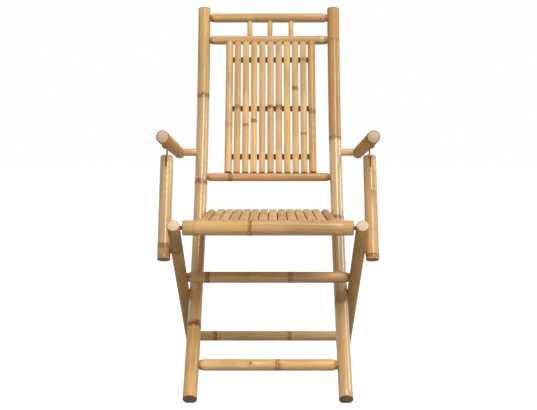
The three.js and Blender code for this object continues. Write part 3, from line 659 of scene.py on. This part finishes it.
# Three short spindles, thin straight canes, stand between the second rail and the top rail.
# Their ends are pushed into holes in the rails, so none of them shows.
SPINDLE_RADIUS = 0.007
SPINDLE_BEDDING = 0.007
SECOND_RAIL_SHARE = 0.9199
TOP_RAIL_SHARE = 0.9767
SPINDLE_TONES = ((232, 192, 132), (226, 182, 122), (234, 196, 138))
top_rail_radius = POLE_RAILS["top_rail"]["radius"]
second_rail_radius = POLE_RAILS["second_rail"]["radius"]
spindle_from = pole_length * SECOND_RAIL_SHARE + second_rail_radius - SPINDLE_BEDDING
spindle_to = pole_length * TOP_RAIL_SHARE - top_rail_radius + SPINDLE_BEDDING
spindle_foot, spindle_heading = on_pole(spindle_from)


def middle_of(node):
    """Where the middle of a solid is, from side to side."""
    low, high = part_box(node)
    return (low.x + high.x) / 2


for index, tone in enumerate(SPINDLE_TONES):
    node = f"spindle_{index + 1}"
    spindle = straight_cane(
        f"{node}_cane", spindle_to - spindle_from, SPINDLE_RADIUS, {"tones": (tone,)}, facets=20
    )
    spindle.rotation_euler.x = math.radians(spindle_heading - 90)
    spindle.location = (middle_of(node), *spindle_foot)
    finish_cane(spindle, node, "back_frame")


# The back panel is edged by two round canes, bent like the poles. Their ends are scribed with
# a half-round hollow that fits against the second rail and the lower rail.
LOWER_RAIL_SHARE = 0.5684
BACK_SIDE_RADIUS = 0.01025
BACK_SIDE_FORWARD = 0.003
LOWER_SHOULDER_SHARE = 0.9
UPPER_SHOULDER_SHARE = 0.3
WASTE_FACETS = 64
FIT_GAP = 0.0003
BACK_SIDES = {
    "left": {"knots": ((0.364, 0.3),), "tones": ((240, 198, 138),)},
    "right": {"knots": ((0.464, 0.6),), "tones": ((218, 172, 112),)},
}
lower_rail_radius = POLE_RAILS["lower_back_rail"]["radius"]
back_side_from = pole_length * LOWER_RAIL_SHARE + LOWER_SHOULDER_SHARE * lower_rail_radius
back_side_to = pole_length * SECOND_RAIL_SHARE - UPPER_SHOULDER_SHARE * second_rail_radius


def carve(piece, waste):
    """Cuts the waste away from a piece. The cut shows the inside of the cane. Its new corners
    take over what the nearest old point of the surface knows, and count as a sawn end."""
    mesh = piece.data
    known = {}
    for name, kind in GRAIN.items():
        values = [getattr(item, FIELDS[kind]) for item in mesh.attributes[name].data]
        known[name] = [value if kind == "FLOAT" else tuple(value) for value in values]
    old_points = KDTree(len(mesh.vertices))
    for index, vertex in enumerate(mesh.vertices):
        old_points.insert(vertex.co, index)
    old_points.balance()
    for material in mesh.materials:
        waste.data.materials.append(material)
    for face in waste.data.polygons:
        face.material_index = SPLIT
    cutting = piece.modifiers.new("cut", "BOOLEAN")
    cutting.operation = "DIFFERENCE"
    cutting.solver = "EXACT"
    cutting.object = waste
    pick(piece)
    bpy.ops.object.modifier_apply(modifier="cut")
    bpy.data.objects.remove(waste)
    for index, vertex in enumerate(mesh.vertices):
        place, near, away = old_points.find(vertex.co)
        if away > SAME_PLACE:
            facts = {name: values[near] for name, values in known.items()}
            facts["grain"] = Vector(facts["grain"]) + vertex.co - place
            facts["from_end"] = 0.0
            note(mesh, index, facts)


def round_waste(rail):
    """A rail's round, a hair thicker, to cut a hollow that fits against it."""
    low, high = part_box(rail)
    bpy.ops.object.select_all(action="DESELECT")
    bpy.ops.mesh.primitive_cylinder_add(
        vertices=WASTE_FACETS,
        radius=POLE_RAILS[rail]["radius"] + FIT_GAP,
        depth=high.x - low.x,
        location=(0, (low.y + high.y) / 2, (low.z + high.z) / 2),
        rotation=(0, math.pi / 2, 0),
    )
    return bpy.context.object


for side, look in BACK_SIDES.items():
    node = f"back_side_pole_{side}"
    length = back_side_to - back_side_from
    cane = straight_cane(
        f"{node}_cane", length, BACK_SIDE_RADIUS, look, facets=24, longest=BENT_RUN
    )
    bend_to_pole(cane, back_side_from, BACK_SIDE_FORWARD)
    cane.location.x = middle_of(node)
    carve(cane, round_waste("lower_back_rail"))
    carve(cane, round_waste("second_rail"))
    finish_cane(cane, node, "back_frame", smooth=28)


# Between them nine flat slats are split from thick canes, so each has a gently crowned skin
# with its knots, a level back and low sawn edges. They are fixed to three dark battens.
BACK_SLAT_THICKNESS = 0.005
BACK_SLAT_CROWN = 0.0025
BACK_SLAT_FORWARD = 0.011
BACK_SLAT_GLOSS = (0.15,)
STOCK_FACETS = 96
SLAT_KNOT_SHARE = 0.7
EASED_EDGE = 0.0006
EASED_FROM = 40
FACING = 0.9
BACK_SLATS = (
    {"knots": ((0.503, 0.6),), "tones": ((222, 178, 122),)},
    {"knots": ((0.366, 0.7),), "tones": ((228, 188, 132),)},
    {"knots": ((0.398, 0.8),), "tones": ((232, 188, 122),)},
    {"knots": (), "tones": ((226, 184, 130),)},
    {"knots": ((0.505, 1.0),), "tones": ((222, 178, 128),)},
    {"knots": ((0.503, 1.0),), "tones": ((226, 184, 134),)},
    {"knots": (), "tones": ((236, 196, 128),)},
    {"knots": ((0.644, 0.8),), "tones": ((228, 186, 132),)},
    {"knots": ((0.299, 0.7), (0.862, 0.6)), "tones": ((224, 184, 128),)},
)


def width_of(node):
    """How wide a solid is, from side to side."""
    low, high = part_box(node)
    return high.x - low.x


def rail_reach(radius, forward):
    """How far a round rail reaches along the panel, at a distance in front of its middle."""
    return math.sqrt(max(radius**2 - forward**2, 0.0)) + FIT_GAP


def split_slat(name, length, width, thickness, crown, look):
    """A strip split from a thick cane, its crown towards -Y, on the origin along +Z. The disc
    that it is extruded from is first cut down to the strip's section."""
    stock = ((width / 2) ** 2 + crown**2) / (2 * crown)
    rings, marks = cane_rings(length, stock, (0.0, 0.0), look["knots"], (), BENT_RUN)
    rings = [(along, stock + (reach - stock) * SLAT_KNOT_SHARE) for along, reach in rings]
    cuts = (
        ((width / 2, 0, 0), (1, 0, 0)),
        ((-width / 2, 0, 0), (-1, 0, 0)),
        ((0, thickness - stock, 0), (0, 1, 0)),
    )
    slat = grow_cane(name, rings, marks, look, STOCK_FACETS, cuts=cuts)
    for face in slat.data.polygons:
        if any(face.normal.dot(Vector(outward)) > FACING for place, outward in cuts):
            face.material_index = SPLIT
    edit_all()
    bpy.ops.transform.translate(value=(0, stock - thickness / 2, 0))
    bpy.ops.object.mode_set(mode="OBJECT")
    easing = slat.modifiers.new("eased_edges", "BEVEL")
    easing.width = EASED_EDGE
    easing.segments = 2
    easing.limit_method = "ANGLE"
    easing.angle_limit = math.radians(EASED_FROM)
    bpy.ops.object.modifier_apply(modifier="eased_edges")
    return slat


slat_back = BACK_SLAT_FORWARD - BACK_SLAT_THICKNESS / 2
slat_from = pole_length * LOWER_RAIL_SHARE + rail_reach(lower_rail_radius, slat_back)
slat_to = pole_length * SECOND_RAIL_SHARE - rail_reach(second_rail_radius, slat_back)
for index, look in enumerate(BACK_SLATS):
    node = f"back_slat_{index + 1}"
    slat = split_slat(
        f"{node}_strip",
        slat_to - slat_from,
        width_of(node),
        BACK_SLAT_THICKNESS,
        BACK_SLAT_CROWN,
        {**look, "gloss": BACK_SLAT_GLOSS},
    )
    bend_to_pole(slat, slat_from, BACK_SLAT_FORWARD)
    slat.location.x = middle_of(node)
    finish_cane(slat, node, "back_frame", smooth=35)


# The battens behind the back slats and under the seat are sawn bamboo strips, coloured dark brown as
# painted shade, for they lie in shadow behind and under the slats. They keep the plain shape of their
# solids.
# Painted shade: the battens' two dark browns.
BATTEN_SHADE_BROWN = paint((98, 66, 38))
BATTEN_SHADE_DARK = paint((58, 36, 20))
BATTEN_FIBRES = (9.0, 420.0, 420.0)
BATTENS = (
    "back_batten_lower", "back_batten_middle", "back_batten_upper",
    "seat_front_batten", "seat_middle_batten", "seat_rear_batten",
)


def shaded_batten(name):
    """Painted shade in dark brown, with the fibres of the bamboo showing through along the strip."""
    finish = Finish(bpy.data.materials.new(name))
    place = finish.node("ShaderNodeTexCoord", {}, {}, "Object")
    fibres = finish.noise(place, BATTEN_FIBRES)
    shade = finish.blend(fibres, BATTEN_SHADE_DARK, BATTEN_SHADE_BROWN)
    finish.set(Base_Color=shade, Roughness=0.4 + fibres * 0.2, Specular_IOR_Level=0.1)
    finish.set(Normal=finish.bump(fibres, strength=0.2))
    return finish.owner


def dress(node, material):
    """Gives its material to a solid that keeps its shape."""
    slots = frame["nodes"][node].data.materials
    slots.clear()
    slots.append(material)


stained_strip = shaded_batten("stained_strip")
for node in BATTENS:
    dress(node, stained_strip)


# The two legs are straight canes that cross the poles on their outer sides and turn there on
# the main pins. They carry the seat rail at their tops, and their feet are worn level.
LEG_RADIUS = 0.0146
LEG_ANGLE = 34.45
LEG_ABOVE_PIVOT = 0.339
LEG_GLOSS = (0.05,)
LEGS = {
    "left": {
        "knots": ((0.855, 0.4),),
        "buds": ((0.29, 240, 1.0),),
        "tones": ((206, 165, 106), (186, 149, 98)),
        "gloss": LEG_GLOSS,
    },
    "right": {
        "buds": ((0.86, 300, 1.0), (0.65, 230, 1.0)),
        "tones": ((205, 163, 104),),
        "gloss": LEG_GLOSS,
    },
}
joints = {joint["name"]: joint for joint in frame["joints"]}
pivot = joints["fold"]["pos_m"][1:]
leg_heading = 180 - LEG_ANGLE
leg_slope = math.radians(LEG_ANGLE)
leg_below = (pivot[1] + FOOT_FLAT - LEG_RADIUS * math.cos(leg_slope)) / math.sin(leg_slope)
leg_length = leg_below + LEG_ABOVE_PIVOT
leg_foot = step(pivot, leg_heading, -leg_below)
leg_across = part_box("leg_right")[1].x - LEG_RADIUS
for side, hand in SIDES.items():
    leg = straight_cane(f"leg_{side}_cane", leg_length, LEG_RADIUS, LEGS[side], facets=32)
    leg.rotation_euler.x = math.radians(leg_heading - 90)
    leg.location = (hand * leg_across, *leg_foot)
    finish_cane(leg, f"leg_{side}", "leg_frame")
    level_foot(leg)


# Two stretchers tie the legs, one just in front of the poles and one low behind them. Their
# ends are whittled, scorched and driven in like those of the rails.
LEG_RAILS = {
    "mid_stretcher": {
        "radius": 0.0140,
        "knots": ((0.147, 0.9), (0.627, 0.6)),
        "tones": ((206, 166, 114), (212, 170, 118), (204, 164, 112)),
    },
    "rear_stretcher": {
        "radius": 0.0135,
        "knots": ((0.154, 0.8), (0.635, 0.6)),
        "tones": ((240, 200, 140), (232, 190, 132), (238, 198, 138)),
    },
}
for node, look in LEG_RAILS.items():
    finish_cane(lay_across(node, look), node, "leg_frame")


# Reddish hardwood pins hold the crossings, the posts and the seat rail. They stay as they
# are in the solids, and only their ends show.
PIN_RED = paint((128, 72, 40))
PIN_DARK = paint((84, 44, 24))
PIN_FIBRES = (40.0, 900.0, 900.0)


def hardwood(name):
    """Close-grained red wood, polished by turning in its hole."""
    finish = Finish(bpy.data.materials.new(name))
    fibres = finish.noise(finish.node("ShaderNodeTexCoord", {}, {}, "Object"), PIN_FIBRES)
    shade = finish.blend(fibres, PIN_DARK, PIN_RED)
    finish.set(Base_Color=shade, Roughness=0.4 + fibres * 0.15, Coat_Weight=0.3)
    return finish.owner


hardwood_pin = hardwood("hardwood_pin")
for side in SIDES:
    for joint in ("main", "post", "seat"):
        dress(f"{joint}_pivot_{side}", hardwood_pin)


# The front seat rail is the thickest cane. Its ends are sawn square, and it turns on the two
# pins between the leg tops.
SEAT_RAIL = {
    "radius": 0.0177,
    "knots": ((0.07, 0.1), (0.394, 0.8)),
    "tones": ((222, 182, 116), (220, 180, 116), (216, 172, 118)),
}
seat_rail = lay_across("front_seat_rail", SEAT_RAIL, tenons=(0.0, 0.0))
finish_cane(seat_rail, "front_seat_rail", "seat")


# Two round side canes edge the seat. In front they are let into the rail by a tenon, and at
# the rear they end in a rounded nose and lie on the rest bar.
SEAT_OVERHANG = 0.0361
SEAT_SIDE_RADIUS = 0.012
SEAT_SIDE_TENON = 0.012
SEAT_GLOSS = (0.05,)
SEAT_SIDES = {
    "left": {"knots": ((0.62, 0.6),), "tones": ((212, 170, 116),), "gloss": SEAT_GLOSS},
    "right": {"knots": ((0.3, 0.6),), "tones": ((204, 160, 106),), "gloss": SEAT_GLOSS},
}
NOSE_SHARE = 0.8
NOSE_TURN = 84
NOSE_STEPS = 8
seat_rail_radius = SEAT_RAIL["radius"]
rest_bar_radius = POLE_RAILS["seat_rest_bar"]["radius"]
seat_pivot = joints["seat_lift"]["pos_m"][1:]
bar_low, bar_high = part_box("seat_rest_bar")
bar = ((bar_low.y + bar_high.y) / 2, (bar_low.z + bar_high.z) / 2)
seat_side_level = seat_rail_radius - SEAT_SIDE_RADIUS
bar_level = seat_side_level - SEAT_SIDE_RADIUS - rest_bar_radius - FIT_GAP
bar_away = math.hypot(bar[0] - seat_pivot[0], bar[1] - seat_pivot[1])
bar_direction = math.atan2(bar[1] - seat_pivot[1], bar[0] - seat_pivot[0])
seat_tilt = math.degrees(bar_direction - math.asin(bar_level / bar_away))
seat_length = math.sqrt(bar_away**2 - bar_level**2) + SEAT_OVERHANG
side_from = seat_rail_radius + FIT_GAP - SEAT_SIDE_TENON
side_length = seat_length - side_from


def round_off(rings, length, radius, reach):
    """Ends a cane in a rounded nose in place of a sawn face."""
    kept = [ring for ring in rings if ring[0] < length - reach - SAME_PLACE]
    nose = []
    for index in range(NOSE_STEPS + 1):
        turn = math.radians(NOSE_TURN) * index / NOSE_STEPS
        nose.append((length - reach + reach * math.sin(turn), radius * math.cos(turn)))
    return kept + nose


for side, look in SEAT_SIDES.items():
    node = f"seat_side_pole_{side}"
    tenons = (SEAT_SIDE_TENON, 0.0)
    rings, marks = cane_rings(side_length, SEAT_SIDE_RADIUS, tenons, look["knots"], (), PLAIN_RUN)
    rings = round_off(rings, side_length, SEAT_SIDE_RADIUS, SEAT_SIDE_RADIUS * NOSE_SHARE)
    cane = grow_cane(f"{node}_cane", rings, marks, look, facets=24, tenons=tenons)
    cane.rotation_euler.x = math.radians(seat_tilt - 90)
    cane.location = (middle_of(node), *step(seat_pivot, seat_tilt, side_from, seat_side_level))
    finish_cane(cane, node, "seat")


# The seat slats are stout strips split from thick canes. They lie flat side down on the
# battens and are butted against the rail in front.
SEAT_SLATS = 12
SEAT_SLAT_THICKNESS = 0.009
SEAT_SLAT_CROWN = 0.0020
SEAT_SLAT_TONES = ((222, 182, 130), (230, 192, 142), (214, 172, 118), (226, 184, 130), (218, 178, 126))
SEAT_SLAT_KNOTS = (0.35, 0.72, 0.18, 0.55, 0.86, 0.44, 0.64)
SEAT_SLAT_DARKNESS = 0.35
slat_under = seat_rail_radius - SEAT_SLAT_THICKNESS
slat_level = seat_rail_radius - SEAT_SLAT_THICKNESS / 2
seat_slat_from = math.sqrt(seat_rail_radius**2 - slat_under**2) + FIT_GAP
seat_slat_length = seat_length - seat_slat_from
for index in range(SEAT_SLATS):
    node = f"seat_slat_{index + 1}"
    look = {
        "knots": ((SEAT_SLAT_KNOTS[index % len(SEAT_SLAT_KNOTS)], SEAT_SLAT_DARKNESS),),
        "tones": (SEAT_SLAT_TONES[index % len(SEAT_SLAT_TONES)],),
        "gloss": SEAT_GLOSS,
    }
    slat = split_slat(
        f"{node}_strip",
        seat_slat_length,
        width_of(node),
        SEAT_SLAT_THICKNESS,
        SEAT_SLAT_CROWN,
        look,
    )
    slat.rotation_euler.x = math.radians(seat_tilt - 90)
    slat.location = (middle_of(node), *step(seat_pivot, seat_tilt, seat_slat_from, slat_level))
    finish_cane(slat, node, "seat", smooth=35)


# Stout dowels, plain lengths of cane, are driven into the poles and run out into the arms,
# which turn on them.
ARM_DOWEL_RADIUS = 0.010
ARM_DOWELS = {"left": {"tones": ((226, 186, 134),)}, "right": {"tones": ((244, 204, 150),)}}
arm_pivot = joints["arm_lift_left"]["pos_m"]
arm_across = abs(arm_pivot[0])
for side, look in ARM_DOWELS.items():
    node = f"arm_dowel_{side}"
    low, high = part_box(node)
    dowel = straight_cane(f"{node}_cane", high.x - low.x, ARM_DOWEL_RADIUS, look, facets=24)
    dowel.rotation_euler.y = math.pi / 2
    dowel.location = (low.x, *arm_pivot[1:])
    finish_cane(dowel, node, "back_frame")


# The arms are thick straight canes, sawn square in front, that rest on the posts. A trimmed
# bud sits under each, close behind the front end.
ARM_RADIUS = 0.0155
ARM_RISE = 5.7
ARM_LENGTH = 0.459
ARM_BEHIND = 0.023
# The arm's front end is darkened a little with painted shade.
ARM_END_SHADE = 0.2
ARM_KNOTS = ((0.42, 0.4), (0.925, 0.5))
ARM_GLOSS = (0.03,)
ARMS = {
    "left": {
        "knots": ARM_KNOTS,
        "buds": ((0.79, 252, 2.0),),
        "tones": ((216, 176, 114), (222, 180, 118)),
        "gloss": ARM_GLOSS,
    },
    "right": {
        "knots": ARM_KNOTS,
        "buds": ((0.80, 288, 2.0),),
        "tones": ((202, 158, 102), (212, 168, 106)),
        "gloss": ARM_GLOSS,
    },
}
arm_heading = 180 - ARM_RISE
arm_rear = step(arm_pivot[1:], arm_heading, -ARM_BEHIND)


def shade_end(piece, length, share):
    """Darkens the cut end of a straight piece with painted shade."""
    for index, vertex in enumerate(piece.data.vertices):
        if vertex.co.z > length - SAME_PLACE:
            note(piece.data, index, {"grime": share})


for side, hand in SIDES.items():
    arm = straight_cane(f"arm_{side}_cane", ARM_LENGTH, ARM_RADIUS, ARMS[side], facets=32)
    shade_end(arm, ARM_LENGTH, ARM_END_SHADE)
    arm.rotation_euler.x = math.radians(arm_heading - 90)
    arm.location = (hand * arm_across, *arm_rear)
    finish_cane(arm, f"arm_{side}", f"arm_unit_{side}")


# Each arm carries a thin brass plate that drops into a slot sawn in the post's top. It keeps
# the plain shape of its solid, and has gone dull.
BRASS = paint((196, 172, 104))
BRASS_DULL = paint((128, 110, 66))
BRASS_WEAR = (160.0, 160.0, 160.0)


def dull_brass(name):
    """Brass that has dulled in clouds."""
    finish = Finish(bpy.data.materials.new(name))
    place = finish.node("ShaderNodeTexCoord", {}, {}, "Object")
    wear = finish.noise(place, BRASS_WEAR, detail=4.0)
    shade = finish.blend(wear, BRASS_DULL, BRASS)
    finish.set(Base_Color=shade, Roughness=0.3 + wear * 0.25, Metallic=1.0)
    return finish.owner


tongue_brass = dull_brass("dull_brass")
for side in SIDES:
    dress(f"arm_tongue_{side}", tongue_brass)


# The posts are canes sawn square at both ends. Each is pinned to the outside of a leg and slotted at
# the top for the arm's plate, and both its ends are darkened with painted shade.
POST_RADIUS = 0.016
POST_ANGLE = 68.8
POST_BELOW_PIVOT = 0.0212
POST_BELOW_ARM = 0.040
POST_END_SHADE = 0.95
POST_GLOSS = (0.7,)
POSTS = {
    "left": {
        "knots": ((0.128, 0.8),),
        "tones": ((214, 168, 116), (219, 180, 126)),
        "gloss": POST_GLOSS,
    },
    "right": {
        "knots": ((0.035, 0.8),),
        "buds": ((0.645, 290, 0.8),),
        "tones": ((214, 166, 106), (212, 168, 110)),
        "gloss": POST_GLOSS,
    },
}
SLOT_DEPTH = 0.032
SLOT_SLANT = 26.0
SLOT_WIDTH = 0.0036
post_pivot = joints["post_swing_left"]["pos_m"][1:]
to_arm = (arm_pivot[1] - post_pivot[0], arm_pivot[2] - post_pivot[1])
arm_turn = math.radians(arm_heading)
arm_line_away = to_arm[0] * math.sin(arm_turn) - to_arm[1] * math.cos(arm_turn)
post_to_arm = arm_line_away / math.sin(math.radians(arm_heading - POST_ANGLE))
post_length = POST_BELOW_PIVOT + (post_to_arm - POST_BELOW_ARM)


def sawn_slot(length):
    """The waste that the saw takes out of a post's top: a wedge with a slanted floor."""
    slant = math.radians(SLOT_SLANT)
    floor_level = length - SLOT_DEPTH + POST_RADIUS * math.tan(slant)
    wedge = (SLOT_WIDTH, 4 * POST_RADIUS, 4 * SLOT_DEPTH)
    bpy.ops.object.select_all(action="DESELECT")
    bpy.ops.mesh.primitive_cube_add(size=1, location=(0, 0, length))
    waste = bpy.context.object
    edit_all()
    bpy.ops.transform.resize(value=wedge, center_override=(0, 0, length))
    bpy.ops.mesh.bisect(
        plane_co=(0, 0, floor_level),
        plane_no=(0, -math.sin(slant), math.cos(slant)),
        use_fill=True,
        clear_inner=True,
    )
    bpy.ops.object.mode_set(mode="OBJECT")
    return waste


for side, hand in SIDES.items():
    post = straight_cane(f"post_{side}", post_length, POST_RADIUS, POSTS[side], facets=32)
    shade_end(post, post_length, POST_END_SHADE)
    carve(post, sawn_slot(post_length))
    post.rotation_euler.x = math.radians(POST_ANGLE - 90)
    post.location = (hand * arm_across, *step(post_pivot, POST_ANGLE, -POST_BELOW_PIVOT))
    finish_cane(post, f"arm_post_{side}", f"post_unit_{side}")


# The chair stands on a plain white floor. Seen by the camera, or in a glossy surface, the
# floor is nearly white of itself and takes a soft shadow. It throws little light upwards.
FLOOR_SIZE = 40.0
FLOOR_GLOW = 0.86
FLOOR_IN_SIGHT = (0.45, 0.45, 0.45, 1.0)
FLOOR_FROM_BELOW = (0.31, 0.30, 0.29, 1.0)
WHITE = (1.0, 1.0, 1.0, 1.0)


def in_sight(finish):
    """1 where the camera, a gloss or clear glass looks, and 0 for light on its way."""
    kinds = ("Is Camera Ray", "Is Glossy Ray", "Is Transmission Ray")
    rays = [finish.node("ShaderNodeLightPath", {}, {}, kind) for kind in kinds]
    return rays[0] + rays[1] + rays[2]


def white_floor(name):
    finish = Finish(bpy.data.materials.new(name))
    finish.set(Base_Color=FLOOR_FROM_BELOW, Roughness=0.9, Specular_IOR_Level=0.0)
    glow = finish.node("ShaderNodeEmission", {}, {"Color": WHITE, "Strength": FLOOR_GLOW})
    lit = finish.node("ShaderNodeBsdfDiffuse", {}, {"Color": FLOOR_IN_SIGHT})
    seen = finish.node("ShaderNodeAddShader", {}, {0: glow, 1: lit})
    bare = Wire(finish, finish.shader.outputs[0])
    look = finish.node("ShaderNodeMixShader", {}, {0: in_sight(finish), 1: bare, 2: seen})
    finish.feed(finish.tree.nodes["Material Output"].inputs["Surface"], look)
    return finish.owner


bpy.ops.object.select_all(action="DESELECT")
bpy.ops.mesh.primitive_plane_add(size=FLOOR_SIZE)
floor = bpy.context.object
floor.name = "floor"
floor.data.materials.append(white_floor("white_floor"))


# The studio round it is white. What the camera sees of the world is pure white, but the world
# lights the chair much less than that.
WORLD_LIGHT = 0.36
sky = Finish(bpy.data.worlds.new("studio"), "Background")
seen_sky = in_sight(sky)
sky.set(Color=WHITE, Strength=seen_sky + (1 - seen_sky) * WORLD_LIGHT)
bpy.context.scene.world = sky.owner


# A large soft box stands in front, high and a little to the right, and draws the long narrow
# streaks on the canes. A weaker one fills from low in front, and a third lights the right side.
LAMPS = {
    "key_lamp": {"place": (1.42, -3.5, 5.1), "size": (1.9, 4.6), "power": 240.0},
    "fill_lamp": {"place": (0.6, -6.0, 0.9), "size": (3.0, 1.2), "power": 42.0},
    "side_lamp": {"place": (3.5, 0.6, 2.4), "size": (0.7, 1.6), "power": 26.0},
}
LAMP_AIM = Vector((0.0, 0.0, 0.5))
for name, lamp in LAMPS.items():
    light = bpy.data.lights.new(name, "AREA")
    light.shape = "RECTANGLE"
    light.size, light.size_y = lamp["size"]
    light.energy = lamp["power"]
    holder = bpy.data.objects.new(name, light)
    holder.location = lamp["place"]
    holder.rotation_euler = (LAMP_AIM - Vector(lamp["place"])).to_track_quat("-Z", "Y").to_euler()
    bpy.context.scene.collection.objects.link(holder)


# The camera stands 2.4 m in front of the leg tops, about as high as the arms, and looks
# slightly down. Its lens gives the photograph's frame.
PHOTO_WIDTH = 537
FOCAL_PIXELS = 1060
SENSOR_WIDTH = 36.0
CAMERA_PLACE = (0.0098, -2.749, 0.634)
CAMERA_PITCH = 3.79
CAMERA_TURN = 0.2
camera_data = bpy.data.cameras.new("camera")
camera_data.sensor_width = SENSOR_WIDTH
camera_data.lens = FOCAL_PIXELS / PHOTO_WIDTH * SENSOR_WIDTH
camera = bpy.data.objects.new("camera", camera_data)
camera.location = CAMERA_PLACE
camera.rotation_euler = (math.radians(90 - CAMERA_PITCH), 0.0, math.radians(CAMERA_TURN))
bpy.context.scene.collection.objects.link(camera)
bpy.context.scene.camera = camera
bpy.context.scene.view_settings.view_transform = "Standard"
